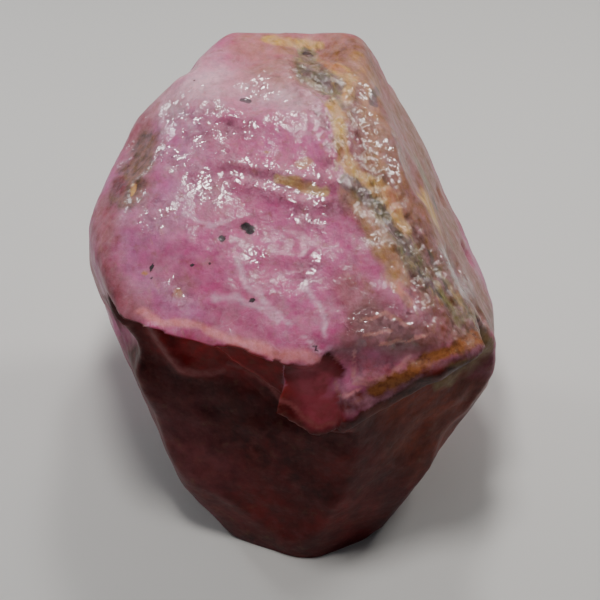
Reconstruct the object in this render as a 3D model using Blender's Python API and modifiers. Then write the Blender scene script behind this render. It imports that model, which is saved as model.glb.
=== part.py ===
# A raw ruby crystal as it came out of the ground: a stubby, six-sided double pyramid. Below its widest part
# the front broke away, which left a thin lip over a ledge. The crystal lies on a flat face low on its back.
import math
import random

import bmesh
import bpy
from mathutils import Matrix, Vector, noise

# Driving dimensions, in millimetres and degrees. The shape is worked out around its growth centre, upright
# on its growth axis (+Z), with the front toward -Y, and is then leaned back until it rests.
MM = 0.001
LEAN = 50.0
REST_DEPTH = 5.5
BLANK_SIZE = 24.0

# Each natural face: how far it turns from the front to the right, how far it tilts up to the tip, and its
# distance from the growth centre.
FRONT_FACES = {
    "front": (-5, 12, 4.32),
    "shoulder": (2, 48, 5.85),
    "upper left": (-45, 27, 5.95),
    "crusted": (31, 21, 4.78),
    "flank": (75, 24, 4.50),
    "lower front": (7, -14, 4.85),
    "under left": (-33, -47, 4.80),
    "foot": (0, -50, 4.95),
    "under right": (37, -47, 4.95),
}
SIDE_FACES = {
    "tip": (171, 83, 7.20),
    "left top": (-82, 46, 6.60),
    "left upper": (-84, 25, 6.15),
    "left waist": (-83, -3, 5.65),
    "left lower": (-81, -23, 4.90),
    "left foot": (-82, -42, 5.80),
    "right waist": (84, 0, 5.32),
    "right lower": (79, -35, 5.50),
}
BACK_FACES = {
    "back right": (146, 3, 4.60),
    "back left": (-146, 5, 4.70),
    "back top": (180, 37, 4.80),
    "back left foot": (-129, -27, 5.45),
    "back right foot": (129, -27, 5.45),
    "resting": (180, -40, REST_DEPTH + 0.50),
}

# Ledges of the broken front: where the edge above starts and ends (right of the axis, up the axis), how far
# the break runs on past both ends, the turn, tilt and distance of its wall, and how far down it reaches.
LEDGES = {
    "under the lip": ((-4.20, -0.60), (-0.45, -1.55), (1.5, 0.0), (-24, -36, 3.91), 6.5),
    "left of the tooth": ((-3.15, -1.55), (0.45, -3.55), (1.5, 4.0), (-16, -34, 3.50), 6.0),
    "under the rusty edge": ((0.45, -3.55), (4.70, -1.25), (4.0, 1.2), (37, -35, 4.24), 6.0),
    "face of the tooth": ((-0.90, -1.45), (1.20, -1.70), (0.3, 0.0), (5, -30, 4.62), 3.0),
}
WALL_REACH = 6.0
WALL_GRID = 26
WALL_WAVES = ((1.6, 0.16), (0.55, 0.06))

# Shell-shaped chips: turn, tilt, radius of the hollow and its depth.
CHIPS = (
    (15, -25, 2.0, 0.22),
    (21, -19, 1.3, 0.16),
    (27, -22, 1.7, 0.20),
    (33, -15, 1.2, 0.15),
    (12, -33, 1.2, 0.18),
    (-68, -10, 2.6, 0.25),
    (-62, 38, 3.4, 0.22),
    (-20, 58, 2.4, 0.18),
    (48, 40, 2.8, 0.16),
    (66, 8, 2.2, 0.16),
    (36, 62, 2.0, 0.20),
    (-42, -62, 2.6, 0.22),
    (14, -66, 2.2, 0.20),
    (58, -50, 2.8, 0.24),
    (-35, 72, 1.6, 0.20),
    (25, 80, 2.4, 0.22),
    (-70, 62, 2.2, 0.20),
)
BACK_CHIPS = 14
BACK_CHIP_RADIUS = (1.4, 3.6)
BACK_CHIP_DEPTH = (0.14, 0.32)

# Small pits on the front, and how many more are scattered: turn, tilt, radius and depth.
PITS = (
    (-28, 48, 0.36, 0.16),
    (-20, 23, 0.20, 0.13),
    (-27, 20, 0.16, 0.11),
    (-50, 28, 0.30, 0.13),
)
LOOSE_PITS = 16
LOOSE_PIT_RADIUS = (0.25, 0.5)
LOOSE_PIT_DEPTH = (0.12, 0.22)
# No hollow is quite round: its waves as a share of its radius, their height as a share of its depth.
HOLLOW_WAVE = 0.6
HOLLOW_WOBBLE = 0.8

# Ridges and grooves on the front: start and end (right, up), then height (grooves below zero) and width.
CREASES = (
    ((-1.95, 3.52), (0.10, 3.02), 0.10, 0.20),
    ((0.10, 3.02), (0.85, 2.98), 0.08, 0.20),
    ((-1.55, 3.24), (0.00, 2.76), -0.10, 0.18),
    ((0.00, 2.76), (0.85, 2.70), -0.08, 0.18),
    ((-1.65, 3.02), (0.05, 2.48), 0.06, 0.18),
    ((0.05, 2.48), (1.10, 2.40), 0.06, 0.18),
    ((-3.70, -0.75), (-3.05, -1.70), 0.10, 0.20),
    ((0.75, 3.80), (1.15, 2.75), 0.12, 0.25),
    ((1.15, 2.75), (2.20, 1.30), 0.12, 0.28),
    ((2.20, 1.30), (2.50, 0.10), 0.10, 0.25),
    ((2.75, 1.90), (4.10, -0.40), -0.10, 0.30),
    ((-0.90, 1.15), (0.60, 0.95), 0.06, 0.20),
    ((1.60, -1.95), (3.40, -1.75), 0.12, 0.25),
    ((3.40, -1.75), (4.80, -1.10), 0.12, 0.25),
)

# Relief of the worn skin: wave length and height of each layer.
WORN_WAVES = ((2.6, 0.11), (0.9, 0.045))
# The crusted strip runs down beside the right ridge: points (right, up), half width, and its grain.
CRUST_LINE = ((-1.2, 5.9), (0.6, 5.6), (1.2, 3.6), (2.3, 2.0), (3.1, 0.6), (4.2, -0.8))
CRUST_HALF_WIDTH = 0.85
CRUST_WAVE = 0.42
CRUST_HEIGHT = 0.09
CRUST_WORN_LEVEL = 0.4
# Growth steps run round the back, square to the growth axis, and wander a little.
STEP_SPACING = 0.85
STEP_HEIGHT = 0.09
STEP_WAVE = 2.2
STEP_WANDER = 0.5
# How far a surface must face back before the steps start, and how soon each side's relief reaches full height.
STEP_START = 0.4
BACK_BLEND = 4.0
FRONT_BLEND = 2.0

# Long wear has rounded the natural edges; broken edges are still sharp.
WEAR_VOXEL = 0.24
WEAR_ROUNDS = 9
VOXEL = 0.145
TRIANGLES = 9000
SEED = 23


def direction(turn, tilt):
    turn = math.radians(turn)
    tilt = math.radians(tilt)
    return Vector((math.sin(turn) * math.cos(tilt), -math.cos(turn) * math.cos(tilt), math.sin(tilt)))


def all_faces():
    return {**FRONT_FACES, **SIDE_FACES, **BACK_FACES}


def surface_spot(turn, tilt):
    # the point where a line from the growth centre leaves the crystal, and the outward normal there
    ray = direction(turn, tilt)
    best = None
    for face_turn, face_tilt, distance in all_faces().values():
        normal = direction(face_turn, face_tilt)
        toward = normal.dot(ray)
        if toward > 0 and (best is None or distance / toward < best[0]):
            best = (distance / toward, normal)
    return ray * best[0], best[1]


def front_spot(right, up):
    # the point of the front that lies this far right of the growth axis and this far up along it
    depth = None
    for turn, tilt, distance in FRONT_FACES.values():
        normal = direction(turn, tilt)
        face_depth = (distance - normal.x * right - normal.z * up) / -normal.y
        if depth is None or face_depth < depth:
            depth = face_depth
    return Vector((right, -depth, up))


def new_collection(name):
    collection = bpy.data.collections.new(name)
    bpy.context.scene.collection.children.link(collection)
    return collection


def object_from(form, name, collection):
    mesh = bpy.data.meshes.new(name)
    form.to_mesh(mesh)
    form.free()
    piece = bpy.data.objects.new(name, mesh)
    collection.objects.link(piece)
    return piece


def cut_flat(form, point, normal):
    # slices off everything beyond the plane and closes the slice with one face
    whole = form.verts[:] + form.edges[:] + form.faces[:]
    cut = bmesh.ops.bisect_plane(form, geom=whole, plane_co=point, plane_no=normal, clear_outer=True)
    rim = [item for item in cut["geom_cut"] if isinstance(item, bmesh.types.BMEdge)]
    if rim:
        bmesh.ops.contextual_create(form, geom=rim)


def crystal_blank(collection):
    form = bmesh.new()
    bmesh.ops.create_cube(form, size=BLANK_SIZE)
    for turn, tilt, distance in all_faces().values():
        normal = direction(turn, tilt)
        cut_flat(form, normal * distance, normal)
    bmesh.ops.recalc_face_normals(form, faces=form.faces)
    return object_from(form, "ruby_crystal", collection)


def ledge_cutter(name, start, end, runs_on, wall, drop, collection):
    # a rough block outside the broken wall, hanging down from the edge above it
    turn, tilt, distance = wall
    outward = direction(turn, tilt)
    ends = [front_spot(*start), front_spot(*end)]
    ends = [spot - outward * (outward.dot(spot) - distance) for spot in ends]
    along = (ends[1] - ends[0]).normalized()
    ends = [ends[0] - along * runs_on[0], ends[1] + along * runs_on[1]]
    down = along.cross(outward)
    middle = (ends[0] + ends[1]) / 2
    centre = Matrix.Translation(middle + outward * (WALL_REACH / 2) + down * (drop / 2))
    size = Matrix.Diagonal(((ends[1] - ends[0]).length, WALL_REACH, drop, 1.0))
    axes = Matrix((along, outward, -down)).transposed().to_4x4()
    form = bmesh.new()
    bmesh.ops.create_cube(form, size=1.0, matrix=centre @ axes @ size)
    bmesh.ops.subdivide_edges(form, edges=form.edges[:], cuts=WALL_GRID, use_grid_fill=True)
    for wave, height in WALL_WAVES:
        for vert in form.verts:
            vert.co += noise.noise_vector(vert.co / wave) * height
    bmesh.ops.recalc_face_normals(form, faces=form.faces)
    object_from(form, "cutter " + name, collection)


def hollow_cutter(name, turn, tilt, radius, depth, collection):
    point, normal = surface_spot(turn, tilt)
    form = bmesh.new()
    centre = Matrix.Translation(point + normal * (radius - depth))
    bmesh.ops.create_icosphere(form, subdivisions=4, radius=radius, matrix=centre)
    for vert in form.verts:
        vert.co += noise.noise_vector(vert.co / (radius * HOLLOW_WAVE)) * depth * HOLLOW_WOBBLE
    object_from(form, "cutter " + name, collection)


def scattered(count, turns, tilts, radii, depths, dice):
    for _ in range(count):
        yield (dice.uniform(*turns), dice.uniform(*tilts), dice.uniform(*radii), dice.uniform(*depths))


def make_cutters(collection, dice):
    for name, ledge in LEDGES.items():
        ledge_cutter(name, *ledge, collection)
    hollows = list(CHIPS)
    hollows += scattered(BACK_CHIPS, (85, 275), (-55, 70), BACK_CHIP_RADIUS, BACK_CHIP_DEPTH, dice)
    hollows += PITS
    hollows += scattered(LOOSE_PITS, (-180, 180), (-60, 75), LOOSE_PIT_RADIUS, LOOSE_PIT_DEPTH, dice)
    for number, hollow in enumerate(hollows):
        hollow_cutter(f"hollow {number}", *hollow, collection)
    for cutter in collection.objects:
        cutter.hide_render = True
        cutter.display_type = "WIRE"


def apply_modifiers(piece):
    bpy.context.view_layer.update()
    view = bpy.context.evaluated_depsgraph_get()
    mesh = bpy.data.meshes.new_from_object(piece.evaluated_get(view))
    old = piece.data
    piece.modifiers.clear()
    piece.data = mesh
    bpy.data.meshes.remove(old)


def remesh(piece, voxel):
    even = piece.modifiers.new("Even skin", "REMESH")
    even.mode = "VOXEL"
    even.voxel_size = voxel
    apply_modifiers(piece)


def wear_down(piece):
    remesh(piece, WEAR_VOXEL)
    wear = piece.modifiers.new("Worn edges", "SMOOTH")
    wear.factor = 0.5
    wear.iterations = WEAR_ROUNDS
    apply_modifiers(piece)


def carve(piece, cutters):
    cut = piece.modifiers.new("Breaks and chips", "BOOLEAN")
    cut.operation = "DIFFERENCE"
    cut.operand_type = "COLLECTION"
    cut.collection = cutters
    apply_modifiers(piece)


def distance_to_line(spot, start, end):
    start = Vector(start)
    run = Vector(end) - start
    share = max(0.0, min(1.0, (spot - start).dot(run) / run.length_squared))
    return (spot - start - run * share).length


def crease_height(point, facing):
    spot = Vector((point.x, point.z))
    height = 0.0
    for start, end, rise, width in CREASES:
        away = distance_to_line(spot, start, end) / width
        height += rise * math.exp(-away * away)
    return height * facing


def crust_height(point, facing):
    spot = Vector((point.x, point.z))
    away = min(distance_to_line(spot, *ends) for ends in zip(CRUST_LINE, CRUST_LINE[1:]))
    cover = max(0.0, 1.0 - away / CRUST_HALF_WIDTH)
    grain = abs(noise.noise(point / CRUST_WAVE)) * 2 - CRUST_WORN_LEVEL
    return CRUST_HEIGHT * grain * min(1.0, cover * 2) * facing


def step_height(point, facing):
    climb = (point.z + noise.noise(point / STEP_WAVE) * STEP_WANDER) / STEP_SPACING
    return STEP_HEIGHT * (climb - math.floor(climb) - 0.5) * facing


def worn_height(point):
    return sum(noise.noise(point / wave) * height for wave, height in WORN_WAVES)


def roughen(piece):
    normals = [vert.normal.copy() for vert in piece.data.vertices]
    for vert, normal in zip(piece.data.vertices, normals):
        front = max(0.0, min(1.0, -normal.y * FRONT_BLEND))
        back = max(0.0, min(1.0, (normal.y - STEP_START) * BACK_BLEND))
        rise = worn_height(vert.co) + crease_height(vert.co, front)
        rise += crust_height(vert.co, front) + step_height(vert.co, back)
        vert.co += normal * rise


def thin_out(piece):
    triangles = sum(len(face.vertices) - 2 for face in piece.data.polygons)
    fewer = piece.modifiers.new("Fewer triangles", "DECIMATE")
    fewer.ratio = TRIANGLES / triangles
    apply_modifiers(piece)


def lay_down(piece):
    # leans the crystal back, cuts its resting face flat and centres it over the origin
    piece.data.transform(Matrix.Rotation(-math.radians(LEAN), 4, "X"))
    form = bmesh.new()
    form.from_mesh(piece.data)
    cut_flat(form, Vector((0, 0, -REST_DEPTH)), Vector((0, 0, -1)))
    bmesh.ops.triangulate(form, faces=form.faces[:])
    shift = Vector((0, 0, REST_DEPTH))
    for axis in (0, 1):
        reach = [vert.co[axis] for vert in form.verts]
        shift[axis] = -(min(reach) + max(reach)) / 2
    bmesh.ops.translate(form, verts=form.verts, vec=shift)
    bmesh.ops.scale(form, verts=form.verts, vec=(MM, MM, MM))
    form.to_mesh(piece.data)
    form.free()


def ruby_material():
    material = bpy.data.materials.new("raw_ruby")
    material.use_nodes = True
    surface = material.node_tree.nodes["Principled BSDF"]
    surface.inputs["Base Color"].default_value = (0.42, 0.12, 0.22, 1.0)
    surface.inputs["Roughness"].default_value = 0.28
    surface.inputs["Metallic"].default_value = 0.0
    return material


def main():
    for leftover in list(bpy.data.objects):
        bpy.data.objects.remove(leftover)
    dice = random.Random(SEED)
    parts = new_collection("raw_ruby_crystal")
    cutters = new_collection("cutters")
    make_cutters(cutters, dice)
    crystal = crystal_blank(parts)
    wear_down(crystal)
    carve(crystal, cutters)
    remesh(crystal, VOXEL)
    roughen(crystal)
    remesh(crystal, VOXEL)
    thin_out(crystal)
    lay_down(crystal)
    crystal.data.materials.clear()
    crystal.data.materials.append(ruby_material())


main()
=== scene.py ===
import math
import random

import bpy
import numpy as np
from mathutils import Matrix, Vector, noise


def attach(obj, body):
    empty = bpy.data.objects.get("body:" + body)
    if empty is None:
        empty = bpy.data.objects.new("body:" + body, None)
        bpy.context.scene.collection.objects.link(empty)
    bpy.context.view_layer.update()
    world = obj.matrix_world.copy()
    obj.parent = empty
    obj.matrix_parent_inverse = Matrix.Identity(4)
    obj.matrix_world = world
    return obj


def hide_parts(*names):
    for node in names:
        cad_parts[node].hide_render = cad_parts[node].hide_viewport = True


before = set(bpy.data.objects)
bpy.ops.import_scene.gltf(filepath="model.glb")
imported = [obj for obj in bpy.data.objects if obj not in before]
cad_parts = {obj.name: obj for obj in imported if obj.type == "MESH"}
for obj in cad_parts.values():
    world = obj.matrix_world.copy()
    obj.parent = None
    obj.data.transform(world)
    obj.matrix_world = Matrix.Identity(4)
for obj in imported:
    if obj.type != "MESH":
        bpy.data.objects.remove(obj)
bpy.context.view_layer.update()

# The crystal is built upright on its growth axis (+Z), front toward -Y, one unit to the millimetre.
# Faces are (turn to the right, tilt up, distance); spots on the front are (right, up).
crystal = {
    "lean": 50.0,
    "restDepth": 5.5,
    "blankSize": 24.0,
    "faces": {
        "front": (-5, 12, 4.32),
        "shoulder": (2, 48, 5.85),
        "upperLeft": (-45, 27, 5.95),
        "crusted": (31, 21, 4.78),
        "flank": (75, 24, 4.50),
        "lowerFront": (7, -14, 4.85),
        "underLeft": (-33, -47, 4.80),
        "foot": (0, -50, 4.95),
        "underRight": (37, -47, 4.95),
        "tip": (171, 83, 7.20),
        "leftTop": (-82, 46, 6.60),
        "leftUpper": (-84, 25, 6.15),
        "leftWaist": (-83, -3, 5.65),
        "leftLower": (-81, -23, 4.90),
        "leftFoot": (-82, -42, 5.80),
        "rightWaist": (84, 0, 5.32),
        "rightLower": (79, -35, 5.50),
        "backRight": (146, 3, 4.60),
        "backLeft": (-146, 5, 4.70),
        "backTop": (180, 37, 4.80),
        "backLeftFoot": (-129, -27, 5.45),
        "backRightFoot": (129, -27, 5.45),
        "resting": (180, -40, 6.00),
    },
    "frontFaces": 9,        # how many of the faces above look to the front
    "wearVoxel": 0.24,
    "wearRounds": 9,
    "skinVoxel": 0.082,
    "skinRounds": 8,
    "seed": 23,
}

# Broken ledges: edge start, edge end, how far the break runs on past both, its wall, how far down it goes.
breaks = {
    "ledges": {
        "underTheLip": ((-4.20, -0.60), (-0.45, -1.55), (1.5, 0.0), (-24, -36, 3.91), 6.5),
        "leftOfTheTooth": ((-3.15, -1.55), (0.45, -3.55), (1.5, 4.0), (-16, -34, 3.50), 6.0),
        "underTheRustyEdge": ((0.45, -3.55), (4.70, -1.25), (4.0, 1.2), (37, -35, 4.24), 6.0),
        "faceOfTheTooth": ((-0.90, -1.45), (1.20, -1.70), (0.3, 0.0), (5, -30, 4.62), 3.0),
    },
    "wallReach": 6.0,
    "wallGrid": 26,
    "wallWaves": ((1.6, 0.16), (0.55, 0.06)),
    "chips": (              # turn, tilt, radius of the hollow, depth
        (15, -25, 2.0, 0.22), (21, -19, 1.3, 0.16), (27, -22, 1.7, 0.20), (33, -15, 1.2, 0.15),
        (12, -33, 1.2, 0.18), (-68, -10, 2.6, 0.25), (-62, 38, 3.4, 0.15), (-20, 58, 2.4, 0.18),
        (48, 40, 2.8, 0.16), (66, 8, 2.2, 0.16), (36, 62, 2.0, 0.20), (-42, -62, 2.6, 0.22),
        (14, -66, 2.2, 0.20), (58, -50, 2.8, 0.24), (-35, 72, 1.6, 0.20), (25, 80, 2.4, 0.22),
        (-70, 62, 2.2, 0.20),
    ),
    "backChips": 14,
    "backChipRadius": (1.4, 3.6),
    "backChipDepth": (0.14, 0.32),
    "pits": ((-28, 48, 0.36, 0.16), (-20, 23, 0.20, 0.07), (-27, 20, 0.16, 0.06), (-50, 28, 0.30, 0.13)),
    "loosePits": 16,
    "loosePitRadius": (0.25, 0.5),
    "loosePitDepth": (0.12, 0.22),
    "hollowWave": 0.6,      # share of the radius
    "hollowWobble": 0.8,    # share of the depth
}

# Relief of the skin, all in millimetres.
relief = {
    "creases": (            # start, end, height (grooves below zero), width
        ((-1.95, 3.52), (0.10, 3.02), 0.10, 0.20), ((0.10, 3.02), (0.85, 2.98), 0.08, 0.20),
        ((-1.55, 3.24), (0.00, 2.76), -0.03, 0.18), ((0.00, 2.76), (0.85, 2.70), -0.03, 0.18),
        ((-1.65, 3.02), (0.05, 2.48), 0.06, 0.18), ((0.05, 2.48), (1.10, 2.40), 0.06, 0.18),
        ((-3.70, -0.75), (-3.05, -1.70), 0.10, 0.20), ((0.75, 3.80), (1.15, 2.75), 0.12, 0.25),
        ((1.15, 2.75), (2.20, 1.30), 0.12, 0.28), ((2.20, 1.30), (2.50, 0.10), 0.10, 0.25),
        ((2.75, 1.90), (4.10, -0.40), -0.10, 0.30), ((-0.90, 1.15), (0.60, 0.95), 0.03, 0.20),
        ((1.60, -1.95), (3.40, -1.75), 0.12, 0.25), ((3.40, -1.75), (4.80, -1.10), 0.12, 0.25),
    ),
    "wornWaves": ((2.6, 0.11), (0.9, 0.045), (0.38, 0.012)),
    "crumpled": (           # width, line: where the skin is crumpled and glints
        (0.55, ((-1.1, 5.25), (-0.2, 5.15), (0.45, 5.25))),
        (0.32, ((0.45, 4.75), (0.8, 4.0), (1.0, 3.5), (1.3, 2.86), (1.5, 2.36), (1.9, 1.74))),
        (0.35, ((-1.8, 4.27), (-1.36, 4.29))), (0.32, ((-2.45, 3.0), (-2.15, 2.73))),
        (0.40, ((-3.84, 2.34), (-3.64, 2.1))), (0.35, ((-3.25, 4.8), (-2.6, 4.3))),
        (0.28, ((-3.3, 3.7), (-3.2, 3.5))), (0.32, ((-2.45, 5.3), (-2.3, 5.1))),
        (0.45, ((-0.9, 5.85), (0.3, 6.0))), (0.18, ((-1.1, 1.1), (-0.95, 1.05))),
        (0.22, ((0.1, 0.72), (0.45, 0.9))), (0.17, ((-0.2, 2.17), (0.12, 2.09), (0.5, 1.84))),
        (0.65, ((1.65, 4.35), (1.85, 3.8), (2.05, 3.5))), (0.40, ((1.3, 5.7), (1.6, 5.2))),
        (0.45, ((1.9, 2.4), (2.4, 1.7), (2.85, 0.9), (2.9, 0.3))), (0.35, ((3.6, 1.0), (3.85, 0.5))),
        (0.30, ((4.2, 0.7), (4.3, 0.4))), (0.50, ((1.6, -0.6), (2.6, -0.75))),
        (0.35, ((2.6, -0.2), (3.0, -0.4))), (0.30, ((-3.1, 0.25), (-2.9, 0.1))),
        (0.25, ((0.2, -2.45), (0.45, -2.55))), (0.26, ((-1.9, 3.48), (0.1, 3.02), (0.85, 2.98))),
        (0.24, ((-1.6, 3.05), (0.05, 2.5), (1.1, 2.4))),
    ),
    "crumpleWaves": ((0.26, 0.030), (0.14, 0.010)),
    "crumpleElsewhere": 0.12,
    "loosePatches": (1.2, 3.2, 0.45),       # wave, gain, level
    "crustLine": ((0.2, 6.5), (0.6, 5.6), (1.2, 3.6), (2.3, 2.0), (3.1, 0.6), (4.2, -0.8)),
    "crustHalfWidth": 0.85,
    "crustWaves": ((0.42, 0.05), (0.19, 0.035)),
    "crustLevel": 0.4,
    "stepSpacing": 0.85,
    "stepHeight": 0.09,
    "stepWave": 2.2,
    "stepWander": 0.5,
    "stepStart": 0.4,
    "backBlend": 4.0,
    "frontBlend": 2.0,
}


def deselectAll():
    for thing in bpy.context.selected_objects:
        thing.select_set(False)


def takeUp(piece):
    # the only selected and active object
    deselectAll()
    piece.select_set(True)
    bpy.context.view_layer.objects.active = piece


def direction(turn, tilt):
    turn, tilt = math.radians(turn), math.radians(tilt)
    return Vector((math.sin(turn) * math.cos(tilt), -math.cos(turn) * math.cos(tilt), math.sin(tilt)))


def surfaceSpot(turn, tilt):
    # where a line from the growth centre leaves the crystal, and which way the skin faces there
    ray = direction(turn, tilt)
    best = None
    for faceTurn, faceTilt, distance in crystal["faces"].values():
        normal = direction(faceTurn, faceTilt)
        toward = normal.dot(ray)
        if toward > 0 and (best is None or distance / toward < best[0]):
            best = (distance / toward, normal)
    return ray * best[0], best[1]


def frontSpot(right, up):
    depths = []
    for turn, tilt, distance in list(crystal["faces"].values())[:crystal["frontFaces"]]:
        normal = direction(turn, tilt)
        depths.append((distance - normal.x * right - normal.z * up) / -normal.y)
    return Vector((right, -min(depths), up))


def applyAll(piece):
    takeUp(piece)
    for modifier in list(piece.modifiers):
        bpy.ops.object.modifier_apply(modifier=modifier.name)


def evenSkin(piece, voxel):
    even = piece.modifiers.new("evenSkin", "REMESH")
    even.mode = "VOXEL"
    even.voxel_size = voxel


def softenSkin(piece, rounds):
    soft = piece.modifiers.new("soften", "SMOOTH")
    soft.factor = 0.5
    soft.iterations = rounds


def growBlank():
    # a cube sliced by each natural face, then worn at its edges
    deselectAll()
    bpy.ops.mesh.primitive_cube_add(size=crystal["blankSize"])
    blank = bpy.context.object
    blank.name = "rubyCrystal"
    bpy.ops.object.mode_set(mode="EDIT")
    for turn, tilt, distance in crystal["faces"].values():
        normal = direction(turn, tilt)
        bpy.ops.mesh.select_all(action="SELECT")
        bpy.ops.mesh.bisect(plane_co=normal * distance, plane_no=normal, use_fill=True, clear_outer=True)
    bpy.ops.mesh.select_all(action="SELECT")
    bpy.ops.mesh.normals_make_consistent(inside=False)
    bpy.ops.object.mode_set(mode="OBJECT")
    evenSkin(blank, crystal["wearVoxel"])
    softenSkin(blank, crystal["wearRounds"])
    applyAll(blank)
    return blank


def ledgeCutter(start, end, runsOn, wall, drop):
    # a rough block outside the broken wall, hanging from the edge above it
    turn, tilt, distance = wall
    outward = direction(turn, tilt)
    ends = [frontSpot(*start), frontSpot(*end)]
    ends = [spot - outward * (outward.dot(spot) - distance) for spot in ends]
    along = (ends[1] - ends[0]).normalized()
    ends = [ends[0] - along * runsOn[0], ends[1] + along * runsOn[1]]
    down = along.cross(outward)
    middle = (ends[0] + ends[1]) / 2 + outward * (breaks["wallReach"] / 2) + down * (drop / 2)
    turnTo = Matrix((along, outward, down)).transposed().to_euler()
    deselectAll()
    bpy.ops.mesh.primitive_cube_add(size=1.0, location=middle, rotation=turnTo)
    block = bpy.context.object
    block.scale = ((ends[1] - ends[0]).length, breaks["wallReach"], drop)
    bpy.ops.object.transform_apply(location=True, rotation=True, scale=True)
    bpy.ops.object.mode_set(mode="EDIT")
    bpy.ops.mesh.select_all(action="SELECT")
    bpy.ops.mesh.subdivide(number_cuts=breaks["wallGrid"])
    bpy.ops.object.mode_set(mode="OBJECT")
    for wave, height in breaks["wallWaves"]:
        for vert in block.data.vertices:
            vert.co += noise.noise_vector(vert.co / wave) * height
    return block


def scattered(count, turns, tilts, radii, depths, dice):
    for _ in range(count):
        yield (dice.uniform(*turns), dice.uniform(*tilts), dice.uniform(*radii), dice.uniform(*depths))


def hollowCutters(dice):
    # one ball, modelled once and copied to each chip and pit
    hollows = list(breaks["chips"])
    hollows += scattered(breaks["backChips"], (85, 275), (-55, 70),
                         breaks["backChipRadius"], breaks["backChipDepth"], dice)
    hollows += breaks["pits"]
    hollows += scattered(breaks["loosePits"], (-180, 180), (-60, 75),
                         breaks["loosePitRadius"], breaks["loosePitDepth"], dice)
    deselectAll()
    bpy.ops.mesh.primitive_ico_sphere_add(subdivisions=4, radius=1.0)
    ball = bpy.context.object
    cutters = []
    for turn, tilt, radius, depth in hollows:
        point, normal = surfaceSpot(turn, tilt)
        hollow = ball.copy()
        hollow.data = ball.data.copy()
        hollow.data.transform(Matrix.Translation(point + normal * (radius - depth)) @ Matrix.Scale(radius, 4))
        wave = radius * breaks["hollowWave"]
        for vert in hollow.data.vertices:
            vert.co += noise.noise_vector(vert.co / wave) * depth * breaks["hollowWobble"]
        bpy.context.scene.collection.objects.link(hollow)
        cutters.append(hollow)
    bpy.data.objects.remove(ball)
    return cutters


def breakFront(stone):
    cutters = [ledgeCutter(*ledge) for ledge in breaks["ledges"].values()]
    cutters += hollowCutters(random.Random(crystal["seed"]))
    tray = bpy.data.collections.new("cutters")
    bpy.context.scene.collection.children.link(tray)
    for cutter in cutters:
        for home in list(cutter.users_collection):
            home.objects.unlink(cutter)
        tray.objects.link(cutter)
    cut = stone.modifiers.new("breaksAndChips", "BOOLEAN")
    cut.operation = "DIFFERENCE"
    cut.operand_type = "COLLECTION"
    cut.solver = "MANIFOLD"     # every piece is closed, and this is the quickest
    cut.collection = tray
    applyAll(stone)
    for cutter in cutters:
        bpy.data.objects.remove(cutter)
    bpy.data.collections.remove(tray)
    # the new skin's grid is turned to run along the lip, whose edge would come out toothed
    lip = [frontSpot(*spot) for spot in breaks["ledges"]["underTheLip"][:2]]
    alongLip = (lip[1] - lip[0]).rotation_difference(Vector((1, 0, 0))).to_matrix().to_4x4()
    stone.data.transform(alongLip)
    evenSkin(stone, crystal["skinVoxel"])
    softenSkin(stone, crystal["skinRounds"])
    applyAll(stone)
    stone.data.transform(alongLip.inverted())


def vertexTable(mesh, source, name):
    table = np.zeros(len(mesh.vertices) * 3)
    source.foreach_get(name, table)
    return table.reshape(-1, 3)


def noiseOver(spots, wave):
    return np.array([noise.noise(spot) for spot in (spots / wave).tolist()])


def awayFromLine(spots, line):
    # distance from each (right, up) spot to a line through several points
    away = np.full(len(spots), 1e3)
    if len(line) == 1:
        return np.linalg.norm(spots - np.array(line[0]), axis=1)
    for start, end in zip(line, line[1:]):
        start, run = np.array(start), np.array(end) - np.array(start)
        share = np.clip((spots - start) @ run / (run @ run), 0.0, 1.0)
        away = np.minimum(away, np.linalg.norm(spots - start - share[:, None] * run, axis=1))
    return away


def softLine(spots, line, width):
    return np.exp(-(awayFromLine(spots, line) / width) ** 2)


def crumpledField(spots, flat, front):
    # 1 where the skin is crumpled: the places on the front, and loose patches elsewhere
    placed = np.max([softLine(flat, line, width) for width, line in relief["crumpled"]], axis=0)
    wave, gain, level = relief["loosePatches"]
    loose = np.clip(noiseOver(spots, wave) * gain - level, 0.0, 1.0)
    return placed * front + loose * (1 - front)


def raiseRelief(stone):
    mesh = stone.data
    spots = vertexTable(mesh, mesh.vertices, "co")
    normals = vertexTable(mesh, mesh.vertex_normals, "vector")
    flat = spots[:, (0, 2)]
    front = np.clip(-normals[:, 1] * relief["frontBlend"], 0.0, 1.0)
    back = np.clip((normals[:, 1] - relief["stepStart"]) * relief["backBlend"], 0.0, 1.0)
    rise = sum(noiseOver(spots, wave) * height for wave, height in relief["wornWaves"])
    for start, end, height, width in relief["creases"]:
        rise += height * softLine(flat, (start, end), width) * front
    cover = np.clip(1.0 - awayFromLine(flat, relief["crustLine"]) / relief["crustHalfWidth"], 0.0, 0.5) * 2
    for wave, height in relief["crustWaves"]:
        grain = np.abs(noiseOver(spots, wave)) * 2 - relief["crustLevel"]
        rise += grain * height * cover * front
    crumple = np.maximum(relief["crumpleElsewhere"], crumpledField(spots, flat, front))
    for wave, height in relief["crumpleWaves"]:
        rise += noiseOver(spots, wave) * height * crumple
    climb = spots[:, 2] + noiseOver(spots, relief["stepWave"]) * relief["stepWander"]
    climb = climb / relief["stepSpacing"]
    rise += relief["stepHeight"] * (climb - np.floor(climb) - 0.5) * back
    mesh.vertices.foreach_set("co", (spots + normals * rise[:, None]).ravel())
    mesh.update()


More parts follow.
